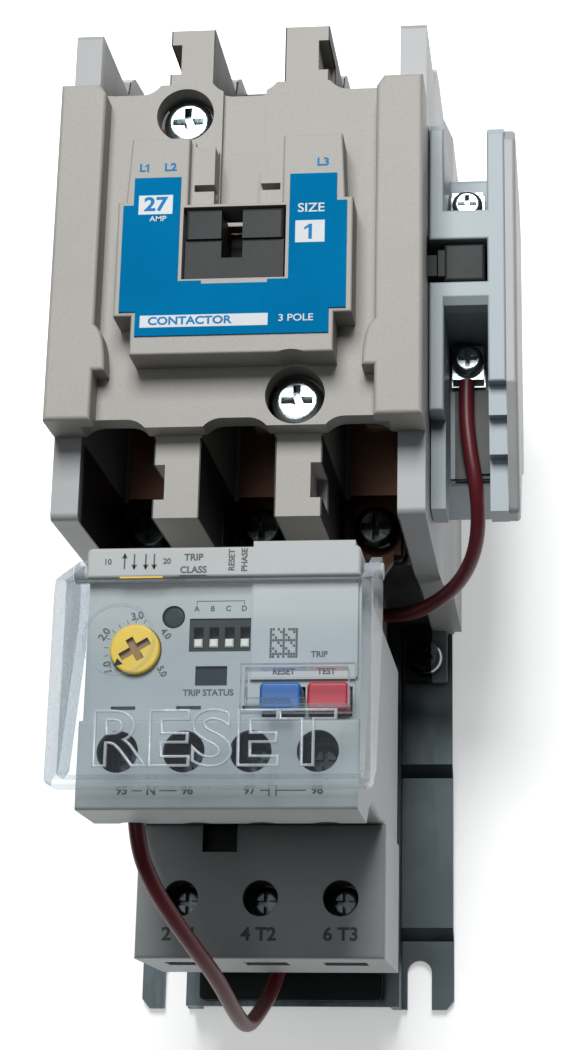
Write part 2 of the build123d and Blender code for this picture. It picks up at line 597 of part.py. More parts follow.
bar_back = -57.5
with BuildPart() as conductor_bars:
    for contactor_x, relay_pole in zip(pole_places, load_places):
        x = relay_pole
        brick(contactor_x - 4.5, contactor_x + 4.5, -12.6, -2.5, terminal_top, terminal_top + bar_gauge)
        flat_shape([(contactor_x - 3.2, -10), (contactor_x + 3.2, -10), (contactor_x + 3.2, -13.6),
                    (x + 3.5, -22), (x + 3.5, -25), (x - 3.5, -25), (x - 3.5, -22), (contactor_x - 3.2, -13.6)],
                   terminal_top, terminal_top + bar_gauge)
        brick(x - 3.5, x + 3.5, bar_back, -24.5, terminal_top, terminal_top + bar_gauge)
        brick(x - 3.5, x + 3.5, bar_back, bar_back + bar_gauge, 48, terminal_top + 1)
        brick(x - 3.5, x + 3.5, -82, bar_back + 1, 48, 50)
    for contactor_x in pole_places:
        post(contactor_x, load_screw_y, 60, 70, 2, mode=Mode.SUBTRACT)
    for x in load_places:
        post(x, -75.2, 45, 52, 1.8, mode=Mode.SUBTRACT)
save(conductor_bars, "conductor_bars")
pan_screw("overload_terminal_screws", [(x, -75.2) for x in load_places], 53, 45, 3, 3, 1.8)

with BuildPart() as load_clamps:
    for x in load_places:
        brick(x - 4.2, x + 4.2, -79.5, -70.5, 50, 53)
        post(x, -75.2, 45, 55, 1.8, mode=Mode.SUBTRACT)
save(load_clamps, "load_clamps")

with BuildPart() as current_transformers:
    for x in load_places:
        brick(x - 5.5, x + 5.5, -52, -36, 53, 78)
    fillet(current_transformers.edges().filter_by(Axis.Y), 2.5)
    for x in load_places:
        brick(x - 3.9, x + 3.9, -60, -30, terminal_top - 0.4, terminal_top + bar_gauge + 0.4, mode=Mode.SUBTRACT)
save(current_transformers, "current_transformers")

with BuildPart() as circuit_board:
    brick(relay_left + 2.7, relay_right - 2.7, -59.5, -31.5, 86, 87.6)
    for x in control_places:
        brick(x - 2.5, x + 2.5, -59.5, -56, 87.6, 98)
save(circuit_board, "circuit_board")

with BuildPart() as trip_relay:
    brick(-17, -5, -50, -34, 79, 86)
    fillet(trip_relay.edges().filter_by(Axis.Z), 0.8)
save(trip_relay, "trip_relay")

with BuildPart() as control_clamps:
    for x in control_places:
        brick(x - 3.3, x + 3.3, -62, -54.4, 98, 104)
        post(x, control_y, 97, 105, 1.6, mode=Mode.SUBTRACT)
save(control_clamps, "control_clamps")
pan_screw("control_terminal_screws", [(x, control_y) for x in control_places], 104, 98.2, 2.9, 2.4, 1.6)

# ---------------------------------------------------------------- relay face controls
dial_top = 115.2
with BuildPart() as current_dial:
    post(dial_x, dial_y, 108, dial_top, dial_radius)
    fillet(current_dial.edges().group_by(Axis.Z)[-1], 0.4)
    post(dial_x, dial_y, 88, 108.2, 1.6)
    with Locations((dial_x, dial_y, dial_top)):
        Box(5.4, 1.3, 1.6, rotation=(0, 0, 30), mode=Mode.SUBTRACT)
        Box(1.3, 4, 1.6, rotation=(0, 0, 30), mode=Mode.SUBTRACT)
save(current_dial, "current_dial")

with BuildPart() as status_indicators:
    post(lens_x, lens_y, 108, 113.6, lens_radius)
    fillet(status_indicators.edges().group_by(Axis.Z)[-1], 0.5)
    brick(status_left, status_right, status_low, status_high, 110, 113.4)
save(status_indicators, "status_indicators")

toggle_pitch = 2.54
toggle_places = [dip_centre + step * toggle_pitch for step in (-1.5, -0.5, 0.5, 1.5)]
toggle_low = dip_low + 0.7
toggle_height = 1.4
toggle_width = 1.4
toggle_travel = 1.9
with BuildPart() as dip_switch_body:
    brick(dip_left, dip_right, dip_low, dip_high, 108, 113.7)
    for x in toggle_places:
        brick(x - toggle_width / 2 - 0.1, x + toggle_width / 2 + 0.1, toggle_low - 0.1,
              toggle_low + toggle_height + toggle_travel + 0.1, 111.5, 115, mode=Mode.SUBTRACT)
save(dip_switch_body, "dip_switch_body")

for number, x in enumerate(toggle_places, 1):
    with BuildPart() as dip_toggle:
        brick(x - toggle_width / 2, x + toggle_width / 2, toggle_low, toggle_low + toggle_height, 111.6, 114.1)
        chamfer(dip_toggle.faces().sort_by(Axis.Z)[-1].edges(), 0.2)
    save(dip_toggle, f"dip_toggle_{number}")

button_top = 118.8
for label, x in (("reset", reset_x), ("test", test_x)):
    with BuildPart() as button:
        brick(x - button_width / 2, x + button_width / 2, button_low, button_high, 106, button_top)
        fillet(button.edges().filter_by(Axis.Z), 0.8)
        fillet(button.faces().sort_by(Axis.Z)[-1].edges(), 0.5)
        post(x, (button_low + button_high) / 2, 98, 106, 1)
    save(button, f"{label}_button")
    coil_spring(f"{label}_spring", [(x, (button_low + button_high) / 2)], 87.7, 97.8, 1.6, 0.5, 6)

# ---------------------------------------------------------------- clear cover over the relay face
clear_x = 0.35
clear_half = 25.5
clear_wall = 1.8
clear_face = 126
clear_top, clear_bottom = -32.2, -64.8
arm_end = -24.2

with BuildPart() as reset_cover:
    side_shape([(arm_end, 107.5), (clear_top, 125.5), (-34.4, clear_face), (clear_bottom, clear_face),
                (clear_bottom, 120.2), (clear_bottom + clear_wall + 0.1, 119.2), (-61, 115.4), (-34, 106),
                (-30, 106)], clear_x - clear_half, clear_x + clear_half)
    fillet(reset_cover.edges().filter_by(Axis.X).group_by(Axis.Z)[-1], 1.2)
    fillet(reset_cover.edges().filter_by(Axis.Z), 1.2)
    side_shape([(-20, 100), (-20, clear_face + 5), (clear_top, clear_face + 5),
                (clear_top, clear_face - clear_wall), (clear_bottom + clear_wall, clear_face - clear_wall),
                (clear_bottom + clear_wall, 100)],
               clear_x - clear_half + clear_wall, clear_x + clear_half - clear_wall, mode=Mode.SUBTRACT)
    # opening over the two buttons, with a raised frame on the inside
    brick(reset_x - 5.6, test_x + 4.9, -53.4, -45.6, clear_face - 3.4, clear_face - 1)
    brick(reset_x - 4.6, test_x + 3.9, -52.4, -46.6, clear_face - 5, clear_face + 1, mode=Mode.SUBTRACT)
    # rib that presses the reset button when the cover is pushed
    brick(reset_x - 2.2, reset_x + 2.2, -52.5, -51.2, button_top + 0.3, clear_face - 1)
    brick(reset_x - 4.6, reset_x + 4.6, -52.5, -51.2, clear_face - 2, clear_face - 1)
    # pivot holes in the two arms
    for sign in (-1, 1):
        with Locations((clear_x + sign * clear_half, hinge_y, hinge_z)):
            Cylinder(hinge_radius + 0.15, 6, rotation=(0, 90, 0), mode=Mode.SUBTRACT)
save(reset_cover, "reset_cover")

# ---------------------------------------------------------------- control wires
# Routes follow the middle of each wire. The holding wire runs from the auxiliary contact to the
# right coil terminal, and the coil wire from the relay's first control terminal, round the
# bottom of the terminal block and up behind the relay, to the left coil terminal.
holding_route = [(38.4, 18.3, 74.8), (38.2, 12, 74.8), (38.9, 5, 74.9), (40, -1.5, 74.2), (40.4, -7.5, 70.6),
                 (39.3, -12.4, 65), (36.3, -16, 58.6), (31.8, -18.1, 52.4), (27, -18.9, 47), (23, -18.4, 42.8),
                 (19, -18, 40.7)]
coil_route = [(-15.4, -62, 101), (-15.2, -69, 100.6), (-13.2, -76.2, 97), (-8.8, -83.6, 89), (-4.6, -90, 78),
              (-2.9, -95.4, 66), (-2.4, -97.2, 54.5), (-1.8, -93.5, 42.5), (-1, -88, 29), (0.4, -77, 19.5),
              (1.2, -63, 16.4), (-0.4, -49, 17.4), (-3.4, -37, 18.2), (-5.6, -28, 23.4), (-6.2, -21.8, 31.5),
              (-7, -18.6, 38.4), (-12, -18, 40.7)]


def wire_tube(label, route):
    """A round wire along straight runs joined by tangent arcs; prints its radii and length check."""
    points = [Vector(*p) for p in route]
    radii = []
    for before, here, after in zip(points, points[1:], points[2:]):
        arriving, leaving = here - before, after - here
        turn = radians(arriving.get_angle(leaving))
        radii.append(0.45 * min(arriving.length, leaving.length) / tan(turn / 2))
    with BuildPart() as wire:
        with BuildLine() as path:
            FilletPolyline(*points, radius=radii)
        with BuildSketch(Plane(path.line @ 0, z_dir=path.line % 0)) as section:
            Circle(wire_diameter / 2)
        sweep(section.sketch, path=path.line)
    length = sum(edge.length for edge in path.line.edges())
    expected = section.sketch.area * length
    print(label, "radii", [round(r, 1) for r in radii], "length", round(length, 1),
          "volume ratio", round(wire.part.volume / expected, 4))
    save(wire, label)


wire_tube("holding_wire", holding_route)
wire_tube("coil_wire", coil_route)
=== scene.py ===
import json
import math

import bmesh
import bpy
from mathutils import Matrix, Vector


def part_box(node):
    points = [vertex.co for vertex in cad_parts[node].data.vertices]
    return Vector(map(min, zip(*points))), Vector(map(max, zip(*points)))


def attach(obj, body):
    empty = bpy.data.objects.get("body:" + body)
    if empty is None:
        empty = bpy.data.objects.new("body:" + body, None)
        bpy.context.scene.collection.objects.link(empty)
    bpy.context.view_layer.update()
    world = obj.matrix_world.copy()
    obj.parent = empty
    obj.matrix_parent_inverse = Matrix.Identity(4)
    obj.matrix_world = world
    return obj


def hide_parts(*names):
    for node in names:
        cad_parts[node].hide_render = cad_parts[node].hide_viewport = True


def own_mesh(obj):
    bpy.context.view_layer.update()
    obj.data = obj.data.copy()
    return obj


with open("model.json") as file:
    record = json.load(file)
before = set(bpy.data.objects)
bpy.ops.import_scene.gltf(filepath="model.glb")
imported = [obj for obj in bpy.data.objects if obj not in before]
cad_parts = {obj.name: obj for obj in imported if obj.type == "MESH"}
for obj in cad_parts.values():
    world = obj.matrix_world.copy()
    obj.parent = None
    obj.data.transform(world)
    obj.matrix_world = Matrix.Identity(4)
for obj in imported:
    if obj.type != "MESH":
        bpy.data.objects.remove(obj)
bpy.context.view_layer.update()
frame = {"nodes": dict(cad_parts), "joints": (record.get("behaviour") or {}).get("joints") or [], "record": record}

mm = 0.001
nodes = frame["nodes"]
print("frame loaded:", len(nodes), "nodes")


# A value that varies over a surface; arithmetic on it adds Math nodes.
class Field:
    def __init__(self, tree, socket):
        self.tree = tree
        self.socket = socket

    def combine(self, operation, other=0.0, swapped=False):
        node = self.tree.nodes.new("ShaderNodeMath")
        node.operation = operation
        pair = (other, self) if swapped else (self, other)
        for socket, value in zip(node.inputs, pair):
            feed(self.tree, socket, value)
        return Field(self.tree, node.outputs[0])

    def __add__(self, other):
        return self.combine("ADD", other)

    def __sub__(self, other):
        return self.combine("SUBTRACT", other)

    def __rsub__(self, other):
        return self.combine("SUBTRACT", other, swapped=True)

    def __mul__(self, other):
        return self.combine("MULTIPLY", other)

    def clamped(self):
        node = self.tree.nodes.new("ShaderNodeClamp")
        feed(self.tree, node.inputs[0], self)
        return Field(self.tree, node.outputs[0])

    __radd__ = __add__
    __rmul__ = __mul__


def feed(tree, socket, value):
    if isinstance(value, Field):
        tree.links.new(value.socket, socket)
    elif isinstance(value, (tuple, list)) and len(value) == 3 and len(socket.default_value) == 4:
        socket.default_value = (*value, 1)
    else:
        socket.default_value = value


# One material being built: its node tree and its main shader.
class Finish:
    def __init__(self, name, **constants):
        self.material = bpy.data.materials.new(name)
        self.material.use_nodes = True
        self.tree = self.material.node_tree
        self.shader = self.tree.nodes["Principled BSDF"]
        for socketName, value in constants.items():
            feed(self.tree, self.shader.inputs[socketName.replace("_", " ")], value)
        coordinates = self.tree.nodes.new("ShaderNodeTexCoord")
        self.place = Field(self.tree, coordinates.outputs["Object"])

    def node(self, kind, settings=None, inputs=None, output=0):
        made = self.tree.nodes.new(kind)
        for key, value in (settings or {}).items():
            if key == "stops":
                while len(made.color_ramp.elements) < len(value):
                    made.color_ramp.elements.new(0.5)
                for element, (position, color) in zip(made.color_ramp.elements, value):
                    element.position = position
                    element.color = (*color, 1)
            else:
                setattr(made, key, value)
        for key, value in (inputs or {}).items():
            feed(self.tree, made.inputs[key], value)
        return Field(self.tree, made.outputs[output])

    def split(self):
        parts = self.tree.nodes.new("ShaderNodeSeparateXYZ")
        feed(self.tree, parts.inputs[0], self.place)
        return [Field(self.tree, socket) for socket in parts.outputs]

    def noise(self, scale, detail=2.0, roughness=0.5, stretch=None):
        vector = self.place
        if stretch:
            vector = self.node("ShaderNodeVectorMath", {"operation": "MULTIPLY"}, {0: self.place, 1: stretch})
        return self.node("ShaderNodeTexNoise", None,
                         {"Vector": vector, "Scale": scale, "Detail": detail, "Roughness": roughness})

    def mix(self, mask, dark, light):
        return self.node("ShaderNodeMix", {"data_type": "RGBA"}, {0: mask, 6: dark, 7: light}, output=2)

    def times(self, one, other):
        return self.node("ShaderNodeMix", {"data_type": "RGBA", "blend_type": "MULTIPLY"}, {0: 1.0, 6: one, 7: other},
                         output=2)

    def ramp(self, value, low, high):
        return self.node("ShaderNodeMapRange", None, {0: value, 1: low, 2: high})

    def bump(self, height, strength, distance):
        return self.node("ShaderNodeBump", None, {"Strength": strength, "Distance": distance, "Height": height})

    def set(self, **links):
        for socketName, value in links.items():
            feed(self.tree, self.shader.inputs[socketName.replace("_", " ")], value)
        return self.material


palette = {
    "coverBeige": (0.292, 0.281, 0.260),
    "baseGrey": (0.270, 0.279, 0.283),
    "auxBlue": (0.270, 0.318, 0.342),
    "relayGrey": (0.330, 0.352, 0.350),
    "charcoal": (0.020, 0.023, 0.024),
    "labelBlue": (0.001, 0.125, 0.285),
    "dialYellow": (0.78, 0.50, 0.03),
    "buttonBlue": (0.02, 0.12, 0.36),
    "buttonRed": (0.42, 0.02, 0.04),
    "wireRed": (0.10, 0.010, 0.016),
    "boardGreen": (0.015, 0.12, 0.05),
    "ivory": (0.62, 0.61, 0.53),
    "zinc": (0.085, 0.105, 0.112),
    "copper": (0.55, 0.30, 0.20),
}

# Terminal bays, one per pole at each end of the housing, where the bay shade is painted
bayValues = {
    "pitch": 21.2 * mm,
    "halfWidth": 6.75 * mm,
    "middle": 32 * mm,
    "inset": 32.5 * mm,
}


# Mask for painted shade: 1 inside a terminal bay and below its front edge (ramping in over the given depth), 0
# elsewhere
def paintedBayShade(finish, edge, depth):
    x, y, z = finish.split()
    side = x.combine("ABSOLUTE")
    offset = side.combine("MINIMUM", (side - bayValues["pitch"]).combine("ABSOLUTE"))
    inside = offset.combine("LESS_THAN", bayValues["halfWidth"])
    ends = (y - bayValues["middle"]).combine("ABSOLUTE").combine("GREATER_THAN", bayValues["inset"])
    return inside * ends * finish.ramp((z - edge * mm) * (-1 / mm), 0, depth)


# Screw holes of the relay: centre, radius and the height of the face they open in, in millimetres
relayMiddle, controlPitch, motorPitch = 0.65, 10.7, 14.46
controlPits = [(relayMiddle + step * controlPitch, -58.2, 3.5, 117) for step in (-1.5, -0.5, 0.5, 1.5)]
motorPits = [(relayMiddle + step * motorPitch, -75.2, 3.35, 64) for step in (-1, 0, 1)]
relayPits = controlPits + motorPits
pitDepth = 9


# Mask for painted shade in round holes: 1 inside them, deepening with distance below the face they open in
def paintedPitShade(finish, paintedShadePits):
    x, y, z = finish.split()
    shade = 0.0
    for cx, cy, radius, top in paintedShadePits:
        dx, dy = x - cx * mm, y - cy * mm
        near = (dx * dx + dy * dy).combine("LESS_THAN", (radius * mm) ** 2)
        above = (z - (top - pitDepth) * mm).combine("GREATER_THAN")
        here = near * finish.ramp((z - top * mm) * (-1 / mm), 0.2, 2.2) * above
        shade = here + shade
    return shade.clamped()


# 1 inside a box given in millimetres
def boxShade(finish, low, high):
    shade = 1.0
    for part, least, most in zip(finish.split(), low, high):
        offset = (part - (least + most) / 2 * mm).combine("ABSOLUTE")
        shade = offset.combine("LESS_THAN", (most - least) / 2 * mm) * shade
    return shade


# Boxes painted darker as painted shade in recesses (aux bay floor, block notch, dial cross slot): lowest and highest
# corner, in millimetres
auxBayFloorShade = ((36.1, -0.7, 71.5), (43.2, 17.2, 73.1))
blockNotchShade = ((-10.2, -67.1, 50), (-3.7, -58, 63.9))
dialCrossShade = [((-16.5, -43.9, 110), (-10.9, -38.3, 115.1))]


def mouldedPlastic(name, base, speckle=0.06, roughness=0.5, grain=0.00004, mottle=0.05, specular=0.35, bays=None,
                   paintedShadePits=None, paintedShadeBoxes=(), paintedShadeColor=(0.012, 0.014, 0.015)):
    finish = Finish(name, Specular_IOR_Level=specular)
    broad = finish.noise(60, 3)
    fine = finish.noise(2600, 2, 0.6)
    tone = finish.mix(finish.ramp(broad, 0.35, 0.65), [c * (1 - mottle) for c in base],
                      [min(1, c * (1 + mottle)) for c in base])
    speck = finish.mix(finish.ramp(fine, 0.3, 0.7), [1 - speckle] * 3, [1 + speckle * 0.3] * 3)
    color = finish.times(tone, speck)
    # bays darkens the terminal bays to near black as painted shade
    if bays:
        color = finish.mix(paintedBayShade(finish, *bays), color, (0.010, 0.010, 0.011))
    # round holes in the moulding are painted near black as painted shade
    if paintedShadePits:
        color = finish.mix(paintedPitShade(finish, paintedShadePits), color, (0.008, 0.010, 0.011))
    # each box is painted a dark colour as painted shade in a recess
    for low, high in paintedShadeBoxes:
        color = finish.mix(boxShade(finish, low, high), color, paintedShadeColor)
    return finish.set(Base_Color=color, Roughness=finish.ramp(broad, 0.2, 0.8) * 0.12 + (roughness - 0.06),
                      Normal=finish.bump(finish.noise(1700, 3, 0.6), 0.35, grain))


def metal(name, base, roughness=0.3, streak=(1, 1, 1), grain=0.00002, mottle=0.15, bays=None):
    finish = Finish(name, Metallic=1.0)
    broad = finish.noise(120, 4, 0.6)
    lines = finish.noise(900, 3, 0.6, streak)
    tone = finish.mix(finish.ramp(broad, 0.3, 0.7), [c * (1 - mottle) for c in base], base)
    # bays darkens the metal inside the terminal bays as painted shade
    if bays:
        tone = finish.mix(paintedBayShade(finish, *bays), tone, [c * 0.045 for c in base])
    return finish.set(Base_Color=tone, Roughness=finish.ramp(lines, 0.2, 0.8) * 0.18 + (roughness - 0.09),
                      Normal=finish.bump(lines, 0.3, grain))


def clearPlastic(name, body):
    finish = Finish(name, Specular_IOR_Level=0.8)
    haze = finish.noise(300, 3)
    color = finish.mix(finish.ramp(haze, 0.3, 0.7), (0.50, 0.55, 0.60), (0.58, 0.63, 0.68))
    finish.set(Base_Color=color, Roughness=finish.ramp(haze, 0.3, 0.8) * 0.06 + 0.10)
    through = finish.node("ShaderNodeBsdfTransparent", None, {"Color": (0.93, 0.955, 0.97)})
    grazing = finish.node("ShaderNodeLayerWeight", None, {"Blend": 0.35}, output="Facing")
    normal = finish.node("ShaderNodeTexCoord", output="Normal")
    upward = finish.node("ShaderNodeSeparateXYZ", None, {0: normal}, output=2)
    edge = 1 - upward.combine("ABSOLUTE")
    mixer = finish.tree.nodes.new("ShaderNodeMixShader")
    feed(finish.tree, mixer.inputs[0], (grazing * grazing * 0.8 + edge * 0.16 + body).clamped())
    finish.tree.links.new(through.socket, mixer.inputs[1])
    finish.tree.links.new(finish.shader.outputs[0], mixer.inputs[2])
    finish.tree.links.new(mixer.outputs[0], finish.tree.nodes["Material Output"].inputs["Surface"])
    return finish.material


finishes = {
    "zinc_steel": metal("zincSteel", palette["zinc"], 0.42, (1, 0.15, 1)),
    # Finishes given bays= carry painted shade inside the terminal bays
    "screw_steel": metal("screwSteel", (0.36, 0.41, 0.42), 0.2, mottle=0.35, bays=(92, 20)),
    "base_moulding": mouldedPlastic("baseMoulding", palette["baseGrey"], 0.03, 0.42, bays=(100.3, 3)),
    "cover_moulding": mouldedPlastic("coverMoulding", palette["coverBeige"], 0.08, 0.55, bays=(105.0, 3)),
    # the aux bay floor, and on the relay the block notch, are painted dark as painted shade
    "aux_moulding": mouldedPlastic("auxMoulding", palette["auxBlue"], 0.03, 0.45, paintedShadeBoxes=[auxBayFloorShade]),
    # the relay's screw holes are painted dark as painted shade
    "relay_moulding": mouldedPlastic("relayMoulding", palette["relayGrey"], 0.04, 0.5, paintedShadePits=relayPits,
                                     paintedShadeBoxes=[blockNotchShade]),
    "dark_moulding": mouldedPlastic("darkMoulding", palette["charcoal"], 0.2, 0.55, specular=0.2),
    "rubber_pad": mouldedPlastic("rubberPad", (0.02, 0.02, 0.02), 0.1, 0.8),
    "core_steel": metal("coreSteel", (0.32, 0.33, 0.34), 0.5, (12, 1, 1)),
    "copper": metal("plainCopper", palette["copper"], 0.4, bays=(92, 20)),
    "copper_winding": metal("windingCopper", (0.55, 0.24, 0.10), 0.35, (1, 1, 14)),
    "coil_plastic": mouldedPlastic("coilPlastic", (0.03, 0.025, 0.02), 0.1, 0.5),
    "terminal_brass": metal("terminalBrass", (0.75, 0.58, 0.28), 0.35),
    "contact_silver": metal("contactSilver", (0.8, 0.79, 0.76), 0.4),
    "label_print": mouldedPlastic("labelPrint", palette["labelBlue"], 0.06, 0.6, 0.00001, specular=0),
    "spring_steel": metal("springSteel", (0.45, 0.45, 0.46), 0.35),
    "board_green": mouldedPlastic("boardGreen", palette["boardGreen"], 0.1, 0.35),
    "toggle_white": mouldedPlastic("toggleIvory", palette["ivory"], 0.02, 0.45),
    "dark_lens": mouldedPlastic("darkLens", (0.012, 0.024, 0.026), 0.02, 0.35, specular=0.1),
    # the cross slot in the dial is painted brown as painted shade
    "dial_yellow": mouldedPlastic("dialYellow", palette["dialYellow"], 0.03, 0.4, paintedShadeBoxes=dialCrossShade,
                                  paintedShadeColor=(0.26, 0.13, 0.015)),
    "button_blue": mouldedPlastic("buttonBlue", palette["buttonBlue"], 0.03, 0.35),
    "button_red": mouldedPlastic("buttonRed", palette["buttonRed"], 0.03, 0.35),
    "clear_plastic": clearPlastic("clearPlastic", 0.02),
    "wire_red": mouldedPlastic("wireRed", palette["wireRed"], 0.05, 0.4),
}
printFinishes = {
    "white": mouldedPlastic("whitePrint", (0.52, 0.55, 0.56), 0.03, 0.6, 0.00001, specular=0.1),
    "blue": mouldedPlastic("bluePrint", (0.01, 0.15, 0.36), 0.05, 0.6, 0.00001, specular=0.1),
    "grey": mouldedPlastic("greyPrint", (0.10, 0.105, 0.11), 0.05, 0.6, 0.00001, specular=0.1),
    "black": mouldedPlastic("blackPrint", (0.012, 0.012, 0.013), 0.05, 0.6, 0.00001, specular=0.1),
    "yellow": mouldedPlastic("yellowPrint", (0.70, 0.48, 0.08), 0.05, 0.6, 0.00001, specular=0.1),
    "sticker": mouldedPlastic("stickerPrint", (0.40, 0.42, 0.42), 0.03, 0.55, 0.00001, specular=0.15),
    "frosted": clearPlastic("frostedEdge", 0.4),
}
slotOf = {entry["node"]: entry["material_slot"] for entry in frame["record"]["subparts"]}
# A darker copy of the screw steel, as painted shade, for screws and clamps that sit in holes and bays
paintedShadeScrews = metal("paintedShadeScrewSteel", (0.10, 0.115, 0.12), 0.35)
for name, piece in nodes.items():
    deep = name in ("overload_terminal_screws", "control_terminal_screws", "load_clamps", "control_clamps")
    piece.data.materials.clear()
    piece.data.materials.append(paintedShadeScrews if deep else finishes[slotOf[name]])
print("finishes set")


# A thin printed or raised mark built from one mesh, riding a body.
def addPiece(name, mesh, finish, body="frame"):
    piece = bpy.data.objects.new(name, mesh)
    bpy.context.scene.collection.objects.link(piece)
    mesh.materials.clear()
    mesh.materials.append(finish)
    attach(piece, body)
    return piece


# The built-in font's size for capitals of height 1
fontScale = 1.37


def textMesh(words, place, height, spin=0, thick=0.05, stretch=1.0, bevel=0.0, weight=0.04, hollow=False):
    curve = bpy.data.curves.new("words", "FONT")
    curve.body = words
    curve.size = height * fontScale * mm
    curve.align_x = "CENTER"
    curve.align_y = "CENTER"
    curve.extrude = thick * mm
    curve.offset = weight * height * mm
    curve.bevel_depth = bevel * mm
    curve.bevel_resolution = 2
    curve.resolution_u = 6
    if hollow:
        curve.fill_mode = "NONE"
    holder = bpy.data.objects.new("words", curve)
    bpy.context.scene.collection.objects.link(holder)
    bpy.context.view_layer.update()
    mesh = bpy.data.meshes.new_from_object(holder.evaluated_get(bpy.context.evaluated_depsgraph_get()))
    bpy.data.objects.remove(holder)
    turn = Matrix.Translation(Vector(place) * mm) @ Matrix.Rotation(math.radians(spin), 4, "Z")
    mesh.transform(turn @ Matrix.Diagonal((stretch, 1, 1, 1)))
    return mesh


def prismMesh(outlines, bottom, top):
    mesh = bmesh.new()
    for outline in outlines:
        low = [mesh.verts.new((x * mm, y * mm, bottom * mm)) for x, y in outline]
        high = [mesh.verts.new((x * mm, y * mm, top * mm)) for x, y in outline]
        mesh.faces.new(list(reversed(low)))
        mesh.faces.new(high)
        for i in range(len(outline)):
            j = (i + 1) % len(outline)
            mesh.faces.new((low[i], low[j], high[j], high[i]))
    bmesh.ops.recalc_face_normals(mesh, faces=mesh.faces)
    made = bpy.data.meshes.new("prism")
    mesh.to_mesh(made)
    mesh.free()
    return made


def bar(x0, x1, y0, y1):
    return [(x0, y0), (x1, y0), (x1, y1), (x0, y1)]


def line(x0, y0, x1, y1, width):
    length = math.hypot(x1 - x0, y1 - y0)
    dx, dy = (y0 - y1) / length * width / 2, (x1 - x0) / length * width / 2
    return [(x0 + dx, y0 + dy), (x0 - dx, y0 - dy), (x1 - dx, y1 - dy), (x1 + dx, y1 + dy)]


def joined(name, meshes, finish, body="frame"):
    whole = bmesh.new()
    for mesh in meshes:
        whole.from_mesh(mesh)
        bpy.data.meshes.remove(mesh)
    made = bpy.data.meshes.new(name)
    whole.to_mesh(made)
    whole.free()
    return addPiece(name, made, finish, body)


# Printing on the blue label and on the moulding above it
labelValues = {
    "face": 112.92,
    "poleFace": 112.63,
    "whiteBoxes": [(-16.9, -10.9, 36.6, 40.2), (10.7, 15.8, 30.6, 34.7), (-15.8, 6.3, 15.5, 17.7)],
    "boxWords": [("27", -13.9, 38.4, 2.6), ("CONTACTOR", -7.2, 16.6, 1.45)],
    "faceWords": [("SIZE", 13.4, 37.0, 1.7), ("AMP", -13.4, 35.7, 1.0), ("3 POLE", 11.1, 16.7, 1.3)],
    "ones": [(13.3, 32.6, 2.8)],
    "poleOnes": [(-15.6, 45.6, 1.5)],
    "poleWords": [("L", -16.6, 45.6, 1.5), ("L2", -11.6, 45.6, 1.5), ("L3", 15.3, 45.8, 1.5)],
}


# The figure 1 with its flag
def figureOne(x, y, height):
    half, stem = height / 2, height * 0.11
    return [(x - stem, y - half), (x + stem, y - half), (x + stem, y + half), (x - stem * 0.6, y + half),
            (x - stem * 3.4, y + half * 0.55), (x - stem * 3.4, y + half * 0.25), (x - stem, y + half * 0.55)]


def printLabel():
    face, poleFace = labelValues["face"], labelValues["poleFace"]
    joined("label_figures", [prismMesh([figureOne(*place) for place in labelValues["ones"]],
                                       face + 0.01, face + 0.07)],
           printFinishes["blue"])
    joined("pole_figures", [prismMesh([figureOne(*place) for place in labelValues["poleOnes"]],
                                      poleFace - 0.03, poleFace + 0.03)],
           printFinishes["blue"])
    joined("label_boxes", [prismMesh([bar(*box) for box in labelValues["whiteBoxes"]], face - 0.02, face + 0.03)],
           printFinishes["white"])
    joined("label_box_words", [textMesh(w, (x, y, face + 0.04), h, thick=0.03, stretch=1.15)
                               for w, x, y, h in labelValues["boxWords"]], printFinishes["blue"])
    joined("label_words", [textMesh(w, (x, y, face + 0.02), h, thick=0.03, stretch=1.1, weight=0.015)
                           for w, x, y, h in labelValues["faceWords"]], printFinishes["white"])
    joined("pole_words", [textMesh(w, (x, y, poleFace), h, thick=0.03, stretch=1.1)
                          for w, x, y, h in labelValues["poleWords"]], printFinishes["blue"])


# Printing on the relay: tab, dial scale, switch and button names, terminal numbers
relayValues = {
    "tabFace": 117.02,
    "face": 114.02,
    "blockFace": 64.02,
    "tabWords": [("10", -18.4, -27.0, 0.95, 0), ("20", -8.6, -27.0, 0.95, 0), ("TRIP", -4.2, -26.4, 1.15, 0),
                 ("CLASS", -4.2, -28.5, 1.15, 0), ("RESET", 2.1, -26.9, 1.0, 90), ("PHASE", 4.2, -26.9, 1.0, 90)],
    "faceWords": [("3.0", -13.7, -35.4, 1.25, 10), ("2.0", -19.0, -38.4, 1.25, 55), ("1.0", -18.2, -43.9, 1.25, 100),
                  ("5.0", -9.3, -44.6, 1.1, -60), ("4.0", -8.9, -38.4, 1.1, -50),
                  ("TRIP STATUS", -1.6, -48.2, 1.05, 0), ("A", -3.9, -34.3, 0.9, 0), ("B", -1.3, -34.3, 0.9, 0),
                  ("C", 1.3, -34.3, 0.9, 0), ("D", 3.9, -34.3, 0.9, 0)],
    "stickerFace": 114.72,
    "sticker": (5.5, 22.6, -45.9, -30.4),
    "stickerWords": [("RESET", 10.7, -45.0, 1.0, 0), ("TEST", 17.6, -45.0, 1.0, 0), ("TRIP", 16.4, -42.2, 1.0, 0)],
    "bandY": -64.4,
    "bandWords": [("95", -14.4, 1.35), ("N", -9.7, 1.5), ("96", -3.9, 1.35), ("97", 6.0, 1.35), ("98", 16.7, 1.35)],
    "bandDashes": [(-12.8, -11.1), (-8.4, -5.6), (7.7, 9.0), (10.3, 14.9)],
    "blockWords": [("2 T1", -13.8, -81.6, 2.35), ("4 T2", 0.5, -81.6, 2.35), ("6 T3", 15.2, -81.6, 2.35)],
    "dialCentre": (-13.7, -41.1),
    "dialFace": 115.15,
    "dialArrow": [(-17.0, -43.9), (-15.5, -43.6), (-16.5, -42.6)],
    "tickAngles": (75, 92, 108, 125, 140, 157, 174, 190),
}


